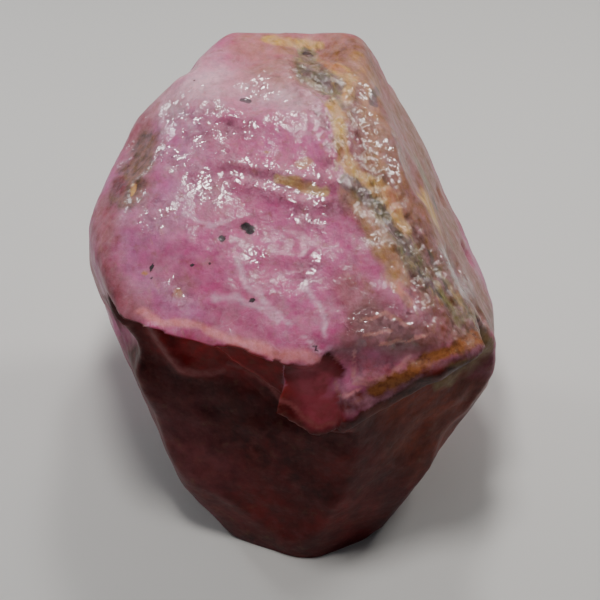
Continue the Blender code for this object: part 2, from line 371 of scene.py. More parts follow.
# Each layer is laid over the one before. A stroke is (width, line of (right, up) spots on the front),
# a spot is (turn, tilt, radius) anywhere. The edge breaks up over "grain" millimetres by "ragged", and
# "streaked" layers run along the band beside the right ridge.
skinLayers = {
    "lilacSkin": {
        "colours": ((0.521, 0.156, 0.351), (0.452, 0.075, 0.233)), "grain": 1.3, "ragged": 0.6, "sharp": 1.1,
        "strokes": ((1.7, ((-4.3, 1.3), (-3.2, 2.3), (-3.2, 3.6), (-2.9, 5.2))),
                    (0.6, ((-4.0, 0.6), (-2.6, -0.3)))),
        "spots": ((-70, 20, 3.0), (-110, 30, 2.4), (120, 10, 2.5)),
    },
    "core": {
        "colours": ((0.50, 0.045, 0.20), (0.60, 0.085, 0.29)), "grain": 1.1, "ragged": 0.5, "sharp": 1.1,
        "strokes": ((1.9, ((-1.7, 1.2), (-0.2, 1.4), (0.5, 0.6), (0.1, 0.0))),
                    (1.0, ((-0.9, 4.1), (0.2, 3.9))), (0.8, ((-0.2, -0.4), (0.9, -0.6), (1.0, 0.4)))),
        "spots": ((-95, -5, 2.0), (165, 30, 2.2)),
    },
    "redRim": {
        "colours": ((0.36, 0.075, 0.10), (0.26, 0.050, 0.060)), "grain": 0.8, "ragged": 0.6, "sharp": 1.5,
        "strokes": ((0.55, ((-3.7, 5.4), (-4.5, 4.1))),
                    (0.6, ((-5.1, 2.4), (-5.0, 1.2), (-4.7, 0.2), (-4.4, -0.3))),
                    (0.6, ((1.2, 0.4), (1.5, -0.7), (1.2, -1.2)))),
        "spots": ((-88, 40, 1.8), (-92, 5, 1.5)),
    },
    "paleTop": {
        "colours": ((0.78, 0.46, 0.54), (0.64, 0.28, 0.36)), "grain": 0.8, "ragged": 0.8, "sharp": 1.3,
        "strokes": ((0.9, ((-3.3, 5.2), (-2.4, 5.6), (-1.2, 5.5), (0.2, 5.3))),),
        "spots": ((-60, 60, 1.6),),
    },
    "beigeTop": {
        "colours": ((0.388, 0.170, 0.073), (0.502, 0.161, 0.149)), "grain": 0.6, "ragged": 0.8, "sharp": 1.5,
        "strokes": ((0.9, ((-1.3, 6.8), (0.2, 6.9), (1.6, 6.5))), (0.8, ((-0.9, 6.0), (0.4, 6.0)))),
        "spots": ((-150, 70, 2.2), (100, 60, 2.0), (180, 60, 1.6)),
    },
    "bandTan": {
        "colours": ((0.14, 0.053, 0.005), (0.29, 0.13, 0.020)), "grain": 0.5, "ragged": 0.7, "sharp": 2.0,
        "streaked": True,
        "strokes": ((1.25, ((1.4, 6.3), (1.75, 4.8), (2.1, 3.6), (2.6, 2.4), (3.1, 1.4), (3.7, 0.2))),),
        "spots": ((70, 15, 2.2), (95, 35, 1.8), (150, -10, 1.8), (-125, 15, 1.8)),
    },
    "bandCream": {
        "colours": ((0.46, 0.24, 0.058), (0.30, 0.14, 0.028)), "grain": 0.35, "ragged": 1.1, "sharp": 2.2,
        "streaked": True,
        "strokes": ((0.42, ((1.5, 6.3), (1.9, 5.5), (1.95, 4.4), (1.9, 3.6))),
                    (0.5, ((1.3, 2.6), (1.9, 1.6), (2.4, 0.6)))),
        "spots": ((80, 40, 1.2), (150, 40, 1.0)),
    },
    "flankPink": {
        "colours": ((0.27, 0.100, 0.032), (0.21, 0.105, 0.026)), "grain": 0.8, "ragged": 0.5, "sharp": 1.5,
        "strokes": ((0.8, ((2.9, 5.2), (3.5, 3.2), (4.0, 1.9))),),
        "spots": ((80, 25, 2.4), (85, 0, 2.0)),
    },
    "bandBrown": {
        "colours": ((0.09, 0.036, 0.005), (0.22, 0.11, 0.018)), "grain": 0.45, "ragged": 0.9, "sharp": 2.2,
        "streaked": True,
        "strokes": ((0.8, ((2.9, 1.5), (3.3, 0.6), (3.9, -0.3), (4.3, -0.9))),
                    (0.5, ((3.9, 0.9), (4.5, 0.0), (4.8, -0.6)))),
        "spots": ((90, -12, 1.6), (-150, -20, 1.5)),
    },
    "pinkRight": {
        "colours": ((0.25, 0.060, 0.019), (0.15, 0.040, 0.009)), "grain": 0.5, "ragged": 0.8, "sharp": 1.6,
        "strokes": ((0.75, ((1.7, -0.4), (2.4, -0.9), (3.3, -0.8))),),
        "spots": (),
    },
    "wisps": {
        "colours": ((0.670, 0.306, 0.197), (0.567, 0.178, 0.105)), "grain": 0.3, "ragged": 0.9, "sharp": 2.4,
        "strokes": ((0.08, ((1.5, -0.5), (2.1, -0.35), (2.7, -0.6))), (0.06, ((1.6, -0.8), (2.3, -0.75))),
                    (0.06, ((2.0, -1.05), (2.7, -1.0), (3.1, -0.75))), (0.16, ((2.3, 0.3), (2.7, -0.1)))),
        "spots": (),
    },
    "olivePatch": {
        "colours": ((0.060, 0.036, 0.005), (0.18, 0.090, 0.016)), "grain": 0.4, "ragged": 0.9, "sharp": 2.0,
        "strokes": ((0.72, ((-3.95, 3.95), (-4.25, 3.3), (-4.4, 2.7))), (0.45, ((4.3, -0.9), (4.8, -0.6)))),
        "spots": ((110, -20, 1.6), (-140, -5, 1.5), (160, 50, 1.2)),
    },
    "patchSpot": {
        "colours": ((0.078, 0.005, 0.003), (0.156, 0.010, 0.003)), "grain": 0.3, "ragged": 0.6, "sharp": 2.5,
        "strokes": ((0.28, ((-4.75, 3.1), (-4.65, 2.9))),),
        "spots": (),
    },
    "olive": {
        "colours": ((0.085, 0.085, 0.020), (0.27, 0.24, 0.065)), "grain": 0.25, "ragged": 1.2, "sharp": 2.6,
        "streaked": True,
        "strokes": ((0.50, ((0.15, 6.6), (0.3, 5.8), (0.8, 5.6), (1.1, 5.2))),
                    (0.45, ((1.5, 2.7), (2.1, 2.1), (2.5, 1.5), (2.8, 0.9))),
                    (0.22, ((2.6, 1.3), (3.2, 0.5), (4.0, -0.5))), (0.16, ((3.5, 0.8), (4.3, -0.4)))),
        "spots": ((75, 45, 0.8), (150, 5, 0.9), (-160, 20, 0.8)),
    },
    "ochre": {
        "colours": ((0.58, 0.30, 0.015), (0.68, 0.44, 0.11)), "grain": 0.3, "ragged": 1.0, "sharp": 2.5,
        "streaked": True,
        "strokes": ((0.28, ((0.85, 5.0), (0.95, 4.4), (1.05, 3.8), (1.3, 3.2), (1.9, 2.85))),
                    (0.42, ((1.9, 2.9), (2.3, 2.5), (2.6, 1.9))), (0.22, ((-0.9, 7.0), (0.6, 6.9))),
                    (0.18, ((-0.6, 3.05), (0.0, 2.82), (0.6, 2.78))),
                    (0.3, ((0.9, 6.1), (1.35, 5.7), (1.3, 5.2))),
                    (0.07, ((-4.3, 2.9), (-4.35, 2.7)))),
        "spots": ((60, 30, 0.9), (140, 20, 1.0), (-120, 40, 0.8)),
    },
    "orange": {
        "colours": ((0.56, 0.20, 0.020), (0.46, 0.20, 0.050)), "grain": 0.2, "ragged": 0.9, "sharp": 2.2,
        "strokes": ((0.22, ((0.6, 6.25), (1.0, 6.05))), (0.20, ((-0.05, 3.42), (0.1, 3.5))),
                    (0.24, ((2.25, 2.8), (2.45, 2.4))), (0.12, ((1.1, 3.4), (1.0, 3.8))),
                    (0.10, ((-3.95, 0.70), (-3.9, 0.68))), (0.07, ((-0.83, 3.75), (-0.8, 3.74))),
                    (0.12, ((-3.0, 0.22), (-2.95, 0.2)))),
        "spots": (),
    },
    "darkStreaks": {
        "colours": ((0.026, 0.036, 0.008), (0.085, 0.10, 0.020)), "grain": 0.2, "ragged": 1.2, "sharp": 3.0,
        "streaked": True,
        "strokes": ((0.20, ((0.1, 6.62), (0.22, 6.5))), (0.16, ((0.2, 5.9), (0.7, 5.65), (0.85, 5.75))),
                    (0.28, ((1.2, 2.9), (1.6, 2.6), (2.0, 2.3))),
                    (0.24, ((2.1, 2.1), (2.5, 1.6), (2.7, 1.2))), (0.16, ((2.0, 5.45), (2.05, 5.2))),
                    (0.10, ((2.9, 0.9), (3.5, 0.0))), (0.09, ((3.2, 1.2), (3.9, 0.1)))),
        "spots": ((78, 35, 0.35), (145, 12, 0.4)),
    },
    "lipFlange": {
        "colours": ((0.80, 0.22, 0.20), (0.76, 0.26, 0.30)), "grain": 0.5, "ragged": 0.5, "sharp": 1.6,
        "strokes": ((0.24, ((-1.6, -1.02), (-1.0, -1.2), (-0.6, -1.36), (0.0, -1.42), (0.74, -1.55))),
                    (0.14, ((-4.1, -0.3), (-3.4, -0.48), (-2.4, -0.68), (-1.6, -0.98)))),
        "spots": (),
    },
    "bulge": {
        "colours": ((0.20, 0.022, 0.050), (0.32, 0.06, 0.085)), "grain": 0.5, "ragged": 0.5, "sharp": 1.8,
        "strokes": ((0.42, ((1.4, -1.5), (1.7, -1.75), (2.1, -1.6))),),
        "spots": (),
    },
    # dark red under the rusty edge: the stone's own red with painted shade
    "redAndShadeUnderRust": {
        "colours": ((0.17, 0.016, 0.010), (0.07, 0.008, 0.006)), "grain": 0.4, "ragged": 0.7, "sharp": 1.8,
        "strokes": ((0.50, ((1.1, -2.6), (1.7, -2.45), (2.6, -2.15), (3.6, -1.7), (4.4, -1.35))),),
        "spots": (),
    },
    # painted highlights: pale thin rims along the curved scallop edges
    "scallopRimHighlights": {
        "colours": ((0.66, 0.27, 0.26), (0.48, 0.14, 0.15)), "grain": 0.3, "ragged": 0.6, "sharp": 1.8,
        "strokes": ((0.07, ((1.35, -1.26), (1.23, -1.75), (1.35, -2.02),
                            (1.81, -2.02), (2.27, -1.75), (2.66, -1.38))),
                    (0.06, ((0.81, -2.02), (0.96, -2.25), (1.23, -2.33), (1.5, -2.17))),
                    (0.06, ((1.3, -1.9), (1.7, -1.95), (2.1, -1.8)))),
        "spots": (),
    },
    "veils": {
        "colours": ((0.86, 0.50, 0.66), (0.74, 0.34, 0.50)), "grain": 0.3, "ragged": 0.9, "sharp": 0.9,
        "strokes": ((0.12, ((-1.54, 0.97), (-1.22, 0.30), (-0.9, -0.1))),
                    (0.13, ((-2.14, 0.1), (-1.5, 0.0), (-0.95, -0.3), (-0.55, -0.57))),
                    (0.10, ((-1.07, 0.3), (-0.75, -0.22), (-0.25, -0.62))),
                    (0.10, ((0.12, 0.37), (0.52, -0.22), (0.62, -0.87))),
                    (0.08, ((0.12, -0.98), (0.54, -1.32), (0.73, -1.10))),
                    (0.10, ((-3.2, 4.85), (-2.6, 4.3))),
                    (0.08, ((-2.9, 2.2), (-2.2, 1.9), (-1.8, 2.0)))),
        "spots": (),
    },
    "rust": {
        "colours": ((0.42, 0.15, 0.05), (0.12, 0.030, 0.012)), "grain": 0.35, "ragged": 1.5, "sharp": 2.0,
        "strokes": ((0.32, ((1.9, -2.15), (2.47, -1.85), (2.9, -1.62))), (0.24, ((3.0, -1.5), (3.7, -1.2))),
                    (0.26, ((3.9, -1.1), (4.5, -0.9)))),
        "spots": ((95, -30, 0.9),),
    },
    "specks": {
        "colours": ((0.029, 0.019, 0.024), (0.096, 0.066, 0.078)), "grain": 0.12, "ragged": 0.8, "sharp": 5.0,
        "strokes": ((0.19, ((-1.40, 1.82), (-1.34, 1.74))), (0.13, ((-2.02, 1.59), (-2.0, 1.57))),
                    (0.12, ((-1.52, 5.12), (-1.42, 5.09))), (0.13, ((0.1, 6.6), (0.17, 6.57))),
                    (0.09, ((-2.68, 0.84), (-2.67, 0.84))), (0.09, ((-1.21, -0.06), (-1.2, -0.05))),
                    (0.07, ((-3.69, 0.97), (-3.72, 0.60))), (0.08, ((0.37, -1.2), (0.38, -1.2)))),
        "spots": (),
    },
}

# The broken front under the lip, and the dark faces below it: their own deep red, darkened further with
# painted shade where they lie in shadow.
darkRedAndShadeLayers = {
    # painted glow: red light seen through the stone under the lip, laid on as colour
    "paintedGlow": {
        "colours": ((0.46, 0.014, 0.016), (0.22, 0.008, 0.010)), "grain": 0.7, "ragged": 0.6, "sharp": 1.3,
        "strokes": ((0.85, ((-3.5, -0.8), (-2.8, -1.2), (-2.0, -1.3), (-1.3, -1.6))),
                    (0.55, ((-1.1, -1.5), (-0.3, -2.1)))),
        "spots": (),
    },
    # the tooth's own pink, painted brighter as painted light where the lip shades it
    "toothPinkAndLit": {
        "colours": ((0.56, 0.10, 0.14), (0.40, 0.060, 0.090)), "grain": 0.5, "ragged": 0.4, "sharp": 2.2,
        "strokes": ((0.85, ((0.35, -2.0), (0.5, -2.7))), (0.5, ((1.2, -2.3), (1.6, -2.4)))),
        "spots": (),
    },
    "mauve": {
        "colours": ((0.20, 0.040, 0.048), (0.12, 0.016, 0.022)), "grain": 0.8, "ragged": 0.8, "sharp": 1.2,
        "strokes": ((1.3, ((-3.4, -3.4), (-2.6, -4.6), (-1.8, -5.4))),),
        "spots": ((-60, -40, 1.6), (-120, -30, 2.0)),
    },
    "brownRight": {
        "colours": ((0.26, 0.030, 0.008), (0.15, 0.018, 0.006)), "grain": 0.6, "ragged": 0.8, "sharp": 1.3,
        "strokes": ((1.4, ((2.8, -2.5), (3.8, -2.3), (3.2, -3.8))),),
        "spots": ((70, -35, 2.0), (120, -35, 2.2)),
    },
    "redFoot": {
        "colours": ((0.18, 0.009, 0.009), (0.09, 0.006, 0.006)), "grain": 0.7, "ragged": 0.7, "sharp": 1.3,
        "strokes": ((1.1, ((-1.4, -5.6), (0.0, -6.0), (1.4, -5.8))), (0.8, ((0.6, -4.6), (1.4, -4.2)))),
        "spots": ((180, -35, 2.5),),
    },
    "oliveFacet": {
        "colours": ((0.34, 0.22, 0.10), (0.18, 0.10, 0.04)), "grain": 0.4, "ragged": 0.8, "sharp": 1.8,
        "strokes": ((0.55, ((4.0, -1.75), (4.5, -1.45), (4.9, -1.1))), (0.3, ((3.6, -2.2), (4.0, -2.0)))),
        "spots": ((100, -20, 1.4),),
    },
    # painted shadow in the groove under the rusty edge
    "grooveShadow": {
        "colours": ((0.045, 0.006, 0.005), (0.08, 0.014, 0.010)), "grain": 0.3, "ragged": 0.8, "sharp": 1.6,
        "strokes": ((0.26, ((1.7, -2.55), (2.6, -2.25), (3.6, -1.8), (4.4, -1.5))),),
        "spots": (),
    },
    # painted highlights: pale lines along the curved broken edges under the lip
    "rimHighlights": {
        "colours": ((0.42, 0.11, 0.11), (0.26, 0.045, 0.05)), "grain": 0.3, "ragged": 0.8, "sharp": 1.4,
        "strokes": ((0.13, ((-3.98, -0.6), (-3.3, -1.55), (-2.8, -1.84), (-1.94, -1.8))),
                    (0.10, ((-1.8, -1.67), (-1.34, -1.94), (-0.82, -2.26), (-0.4, -2.56), (0.05, -2.94),
                            (0.45, -3.2), (0.8, -3.1))),
                    (0.10, ((0.83, -1.95), (0.95, -2.25), (1.3, -2.4), (1.5, -2.3))),
                    (0.09, ((1.2, -1.9), (1.5, -2.15), (1.9, -2.2)))),
        "spots": (),
    },
}

underside = {
    "lipLine": ((-6.0, -0.2), (-4.2, -0.45), (-3.5, -0.58), (-2.46, -0.78), (-1.6, -1.1), (-0.73, -1.42),
                (0.0, -1.58), (0.74, -1.72), (1.2, -2.25), (1.7, -2.2), (2.5, -1.95), (3.1, -1.65),
                (3.7, -1.42), (4.5, -1.15), (6.0, -1.0)),
    "nearLip": 0.5,         # how far from that line the break may start
    "steep": -0.40,         # how far down a broken wall faces
    "breakTurn": (70.0, 25.0),      # degrees from the front where the break ends, and over how many
    "fade": (0.3, 1.3),     # length of the dark skin's edge: at the break, and more round the flanks
    "fadeWander": ((2.0, 0.9), (0.7, 0.4)),
}
paintWander = ((0.9, 0.16), (0.3, 0.07))


def storeField(mesh, name, field):
    attribute = mesh.attributes.new(name, "FLOAT", "POINT")
    attribute.data.foreach_set("value", field.astype(np.float32))


def wandered(spots):
    # the front's (right, up) spots, pushed about so that no stroke runs straight
    shift = sum(np.array([noise.noise_vector(spot) for spot in (spots / wave).tolist()]) * reach
                for wave, reach in paintWander)
    return spots[:, (0, 2)] + shift[:, (0, 2)]


def paintZones(stone):
    mesh = stone.data
    spots = vertexTable(mesh, mesh.vertices, "co")
    normals = vertexTable(mesh, mesh.vertex_normals, "vector")
    flat = wandered(spots)
    front = np.clip(0.6 - normals[:, 1] * 2, 0.0, 1.0)
    for name, layer in {**skinLayers, **darkRedAndShadeLayers}.items():
        field = np.zeros(len(spots))
        for width, stroke in layer["strokes"]:
            field = np.maximum(field, (1 - awayFromLine(flat, stroke) / width) * front)
        for turn, tilt, radius in layer["spots"]:
            centre = np.array(surfaceSpot(turn, tilt)[0])
            field = np.maximum(field, 1 - np.linalg.norm(spots - centre, axis=1) / radius)
        storeField(mesh, name, field)
    right, up = spots[:, 0], spots[:, 2]
    under = np.interp(right, *np.array(underside["lipLine"]).T) - up
    steep = np.clip((underside["steep"] - normals[:, 2]) / 0.1 + 0.5, 0.0, 1.0)
    near = np.clip((under + underside["nearLip"]) / 0.1, 0.0, 1.0)
    # round the flanks there is no break, and the dark skin fades in along a wandering edge
    start, length = underside["breakTurn"]
    flank = np.clip((np.degrees(np.arctan2(np.abs(right), -spots[:, 1])) - start) / length, 0.0, 1.0)
    edge, flankEdge = underside["fade"]
    wander = sum(noiseOver(spots, wave) * reach for wave, reach in underside["fadeWander"])
    fade = (under - underside["nearLip"] + wander * flank) / (edge + flankEdge * flank)
    storeField(mesh, "below", np.maximum(steep * near * (1 - flank), np.clip(fade, 0.0, 1.0)))
    away = awayFromLine(flat, relief["crustLine"])
    storeField(mesh, "crust", np.clip(1.2 - away / relief["crustHalfWidth"], 0, 1) * front)
    storeField(mesh, "glint", crumpledField(spots, flat, front))


def layDown(stone):
    # leans the crystal back, cuts its resting face flat, centres it and brings it to metres
    takeUp(stone)
    stone.rotation_euler = (-math.radians(crystal["lean"]), 0, 0)
    bpy.ops.object.transform_apply(location=True, rotation=True, scale=True)
    bpy.ops.object.mode_set(mode="EDIT")
    bpy.ops.mesh.select_all(action="SELECT")
    bpy.ops.mesh.bisect(plane_co=(0, 0, -crystal["restDepth"]), plane_no=(0, 0, -1),
                        use_fill=True, clear_outer=True)
    bpy.ops.object.mode_set(mode="OBJECT")
    spots = vertexTable(stone.data, stone.data.vertices, "co")
    middle = (spots.min(0) + spots.max(0)) / 2
    stone.location = (-middle[0] * 0.001, -middle[1] * 0.001, crystal["restDepth"] * 0.001)
    stone.scale = (0.001, 0.001, 0.001)
    bpy.ops.object.transform_apply(location=True, rotation=True, scale=True)
    bpy.ops.object.shade_smooth()
    return Vector((-middle[0], -middle[1], crystal["restDepth"])) * 0.001


def brokenEdgeGroup():
    # turns a soft painted field into a zone with a ragged edge
    group = bpy.data.node_groups.new("raggedZone", "ShaderNodeTree")
    for name, kind, value in (("Field", "NodeSocketFloat", 0.0), ("Place", "NodeSocketVector", None),
                              ("Grain", "NodeSocketFloat", 1.0), ("Ragged", "NodeSocketFloat", 0.5),
                              ("Sharp", "NodeSocketFloat", 2.0)):
        socket = group.interface.new_socket(name, in_out="INPUT", socket_type=kind)
        if value is not None:
            socket.default_value = value
    group.interface.new_socket("Zone", in_out="OUTPUT", socket_type="NodeSocketFloat")
    nodes, links = group.nodes, group.links
    inside = nodes.new("NodeGroupInput")
    outside = nodes.new("NodeGroupOutput")
    scale = nodes.new("ShaderNodeMath")
    scale.operation = "DIVIDE"
    scale.inputs[0].default_value = 1.0
    links.new(inside.outputs["Grain"], scale.inputs[1])
    grain = nodes.new("ShaderNodeTexNoise")
    grain.inputs["Detail"].default_value = 5.0
    grain.inputs["Roughness"].default_value = 0.62
    links.new(inside.outputs["Place"], grain.inputs["Vector"])
    links.new(scale.outputs[0], grain.inputs["Scale"])
    offset = nodes.new("ShaderNodeMath")
    offset.operation = "SUBTRACT"
    offset.inputs[1].default_value = 0.5
    links.new(grain.outputs["Fac"], offset.inputs[0])
    push = nodes.new("ShaderNodeMath")
    push.operation = "MULTIPLY_ADD"
    links.new(offset.outputs[0], push.inputs[0])
    links.new(inside.outputs["Ragged"], push.inputs[1])
    links.new(inside.outputs["Field"], push.inputs[2])
    level = nodes.new("ShaderNodeMath")
    level.operation = "SUBTRACT"
    level.inputs[1].default_value = 0.35
    links.new(push.outputs[0], level.inputs[0])
    cut = nodes.new("ShaderNodeMath")
    cut.operation = "MULTIPLY_ADD"
    cut.use_clamp = True
    cut.inputs[2].default_value = 0.5
    links.new(level.outputs[0], cut.inputs[0])
    links.new(inside.outputs["Sharp"], cut.inputs[1])
    links.new(cut.outputs[0], outside.inputs["Zone"])
    return group


# A cloud is (cells to the millimetre, detail, roughness, distortion) of a noise; a share is how much shows.
stoneFinish = {
    "body": ((0.52, 0.060, 0.19), (0.44, 0.036, 0.13)),
    "bodyCloud": (0.55, 5.0, 0.6, 0.6),
    # the underside's own deep red, painted darker as shade
    "darkRedAndShade": ((0.050, 0.001, 0.002), (0.10, 0.006, 0.007)),
    "deepCloud": (0.8, 5.0, 0.6, 0.4),
    "fineGrain": 0.6,       # layers with a smaller grain take their two colours from the fine cloud
    "coarseCloud": (1.5, 4.0, 0.6),
    "fineCloud": (4.5, 4.0, 0.65),
    "streakCloud": (4.5, 5.0, 0.65),
    "veilLines": (0.70, 0.38, 0.50),
    "veilCloud": (0.9, 3.0, 0.6, 1.6),
    "veilWidth": 0.022,
    "veilPatches": (0.7, 2.0),
    "veilShare": 0.55,
    "bloom": (0.72, 0.50, 0.58),
    "bloomCloud": (1.3, 6.0, 0.7, 0.5),
    "bloomShare": 0.18,
    # painted sheen over the crumpled, glinting skin
    "milkySheen": (0.78, 0.46, 0.54),
    "milkySheenShare": (0.22, 0.2),      # on the skin, and how much less on the crust
    # painted shade in the crust's crevices
    "creviceShade": (0.075, 0.038, 0.014),
    "creviceShadeShare": 0.65,
    # painted highlight on the crust's raised peaks
    "crustPeakHighlight": (0.66, 0.43, 0.17),
    "crustPeakHighlightShare": 0.55,
    "crustCloud": (4.0, 5.0, 0.62),
    "looseSpecks": (0.03, 0.015, 0.015),
    "speckCells": 2.0,
    "speckRadius": (0.085, 0.055),      # where a speck's edge starts and ends, in cells
    "speckRarity": (0.84, 0.86),
    "speckShare": 0.8,
    "shadeCloud": (4.5, 5.0, 0.7),
    "shadeShare": 0.35,
    "bandTurn": 24.4,       # the band's slant from the growth axis, in degrees
    "bandStretch": 0.35,
    "topRoughness": (0.34, 0.52),
    "roughCloud": (3.0, 3.0),
    "underRoughness": 0.45,
    "specular": 0.08,
    "coatRoughness": 0.09,
    "coatIor": 1.77,
    "wetSkin": 0.08,        # gloss of the plain skin, of the crust and of the broken front
    "wetCrust": 0.35,
    "wetBreak": 0.04,
    "wetGlints": 1.5,
    "dentCloud": (2.2, 3.0, 0.5),
    "dentHeight": 0.035,    # heights in millimetres
    "grainCloud": (8.0, 4.0, 0.6),
    "grainHeight": 0.006,
    "crustHeight": 0.09,
    "facetSlopes": ((3.6, 0.22), (8.0, 0.18)),      # facets to the millimetre, how steep
    "facetsOnCrust": 0.3,
    "facetsOnSkin": 0.06,
    "facetBend": (3.0, 0.35),       # cells to the millimetre, reach
    "subsurface": 0.4,
    "scatter": (1.0, 0.40, 0.50),
    "scatterDepth": 0.0004,
    "ior": 1.77,
}


def rubyMaterial():
    material = bpy.data.materials.new("rawRuby")
    material.use_nodes = True
    nodes, links = material.node_tree.nodes, material.node_tree.links
    surface = nodes["Principled BSDF"]
    group = brokenEdgeGroup()

    def attribute(name):
        node = nodes.new("ShaderNodeAttribute")
        node.attribute_name = name
        return node.outputs["Fac"]

    def math2(operation, first, second, clamp=False):
        node = nodes.new("ShaderNodeMath")
        node.operation = operation
        node.use_clamp = clamp
        for socket, value in zip(node.inputs, (first, second)):
            if isinstance(value, (int, float)):
                socket.default_value = value
            else:
                links.new(value, socket)
        return node.outputs[0]

    def cloud(vector, scale, detail=4.0, rough=0.55, distortion=0.0):
        node = nodes.new("ShaderNodeTexNoise")
        node.inputs["Scale"].default_value = scale
        node.inputs["Detail"].default_value = detail
        node.inputs["Roughness"].default_value = rough
        node.inputs["Distortion"].default_value = distortion
        links.new(vector, node.inputs["Vector"])
        return node.outputs["Fac"]

    def ramp(value, low, high, least=0.0, most=1.0):
        node = nodes.new("ShaderNodeMapRange")
        node.inputs["From Min"].default_value = low
        node.inputs["From Max"].default_value = high
        node.inputs["To Min"].default_value = least
        node.inputs["To Max"].default_value = most
        links.new(value, node.inputs["Value"])
        return node.outputs["Result"]

    def mix(amount, first, second):
        node = nodes.new("ShaderNodeMix")
        node.data_type = "RGBA"
        links.new(amount, node.inputs["Factor"])
        for socket, value in ((node.inputs[6], first), (node.inputs[7], second)):
            if isinstance(value, tuple):
                socket.default_value = (*value, 1.0)
            else:
                links.new(value, socket)
        return node.outputs[2]

    def zone(vector, name, layer):
        node = nodes.new("ShaderNodeGroup")
        node.node_tree = group
        links.new(attribute(name), node.inputs["Field"])
        links.new(vector, node.inputs["Place"])
        node.inputs["Grain"].default_value = layer["grain"]
        node.inputs["Ragged"].default_value = layer["ragged"]
        node.inputs["Sharp"].default_value = layer["sharp"]
        return node.outputs["Zone"]

    def blendLevel(amount, first, second):
        node = nodes.new("ShaderNodeMix")
        links.new(amount, node.inputs["Factor"])
        for socket, value in ((node.inputs[2], first), (node.inputs[3], second)):
            if isinstance(value, float):
                socket.default_value = value
            else:
                links.new(value, socket)
        return node.outputs[0]

    def vectorMath(operation, first, second):
        node = nodes.new("ShaderNodeVectorMath")
        node.operation = operation
        for socket, value in zip(node.inputs, (first, second)):
            if isinstance(value, tuple):
                socket.default_value = value
            else:
                links.new(value, socket)
        return node.outputs["Value" if operation == "DOT_PRODUCT" else "Vector"]

    def facets(vector, scale, slope):
        # flat chips of skin, each leaning its own way; height in millimetres
        cells = nodes.new("ShaderNodeTexVoronoi")
        cells.inputs["Scale"].default_value = scale
        links.new(vector, cells.inputs["Vector"])
        away = vectorMath("SUBTRACT", vector, cells.outputs["Position"])
        lean = vectorMath("SUBTRACT", cells.outputs["Color"], (0.5, 0.5, 0.5))
        return math2("MULTIPLY", vectorMath("DOT_PRODUCT", away, lean), slope * 2)

    # object coordinates in millimetres, turned back upright on the growth axis
    coordinates = nodes.new("ShaderNodeTexCoord")
    upright = nodes.new("ShaderNodeMapping")
    upright.inputs["Scale"].default_value = (1000, 1000, 1000)
    upright.inputs["Rotation"].default_value = (math.radians(crystal["lean"]), 0, 0)
    links.new(coordinates.outputs["Object"], upright.inputs["Vector"])
    place = upright.outputs["Vector"]
    turned = nodes.new("ShaderNodeMapping")
    turned.inputs["Rotation"].default_value = (0, math.radians(stoneFinish["bandTurn"]), 0)
    links.new(place, turned.inputs["Vector"])
    stretched = nodes.new("ShaderNodeMapping")
    stretched.inputs["Scale"].default_value = (1, 1, stoneFinish["bandStretch"])
    links.new(turned.outputs["Vector"], stretched.inputs["Vector"])
    streaks = stretched.outputs["Vector"]

    coarse = ramp(cloud(place, *stoneFinish["coarseCloud"]), 0.38, 0.62)
    fine = ramp(cloud(place, *stoneFinish["fineCloud"]), 0.36, 0.64)
    streaky = ramp(cloud(streaks, *stoneFinish["streakCloud"]), 0.36, 0.64)

    def laid(colour, layers):
        for name, layer in layers.items():
            streaked = layer.get("streaked", False)
            tone = streaky if streaked else fine if layer["grain"] < stoneFinish["fineGrain"] else coarse
            cover = zone(streaks if streaked else place, name, layer)
            colour = mix(cover, colour, mix(tone, *layer["colours"]))
        return colour

    skin = mix(ramp(cloud(place, *stoneFinish["bodyCloud"]), 0.35, 0.65), *stoneFinish["body"])
    # healed cracks inside, as thin pale lines in patches
    veil = math2("ABSOLUTE", math2("SUBTRACT", cloud(place, *stoneFinish["veilCloud"]), 0.5), 0.0)
    patches = ramp(cloud(place, *stoneFinish["veilPatches"]), 0.46, 0.62)
    veil = math2("MULTIPLY", ramp(veil, stoneFinish["veilWidth"], 0.0), patches)
    skin = mix(math2("MULTIPLY", veil, stoneFinish["veilShare"]), skin, stoneFinish["veilLines"])
    # frosted bloom on the worn skin
    bloom = ramp(cloud(place, *stoneFinish["bloomCloud"]), 0.48, 0.70)
    skin = mix(math2("MULTIPLY", bloom, stoneFinish["bloomShare"]), skin, stoneFinish["bloom"])
    skin = laid(skin, skinLayers)
    # painted sheen, milky where the skin is crumpled; painted shade in the crust's crevices and painted
    # highlights on its peaks
    glint = attribute("glint")
    crust = attribute("crust")
    onSkin, lessOnCrust = stoneFinish["milkySheenShare"]
    # painted sheen: the skin whitened where it is crumpled and glints
    sheenAmount = math2("SUBTRACT", onSkin, math2("MULTIPLY", crust, lessOnCrust), True)
    skin = mix(math2("MULTIPLY", glint, sheenAmount), skin, stoneFinish["milkySheen"])
    crustGrain = cloud(streaks, *stoneFinish["crustCloud"])
    # painted shade where the crust's relief is low
    creviceShade = ramp(crustGrain, 0.47, 0.36, 0.0, stoneFinish["creviceShadeShare"])
    skin = mix(math2("MULTIPLY", creviceShade, crust), skin, stoneFinish["creviceShade"])
    # painted highlight where the crust's relief is high
    peakHighlight = ramp(crustGrain, 0.57, 0.68, 0.0, stoneFinish["crustPeakHighlightShare"])
    skin = mix(math2("MULTIPLY", peakHighlight, crust), skin, stoneFinish["crustPeakHighlight"])
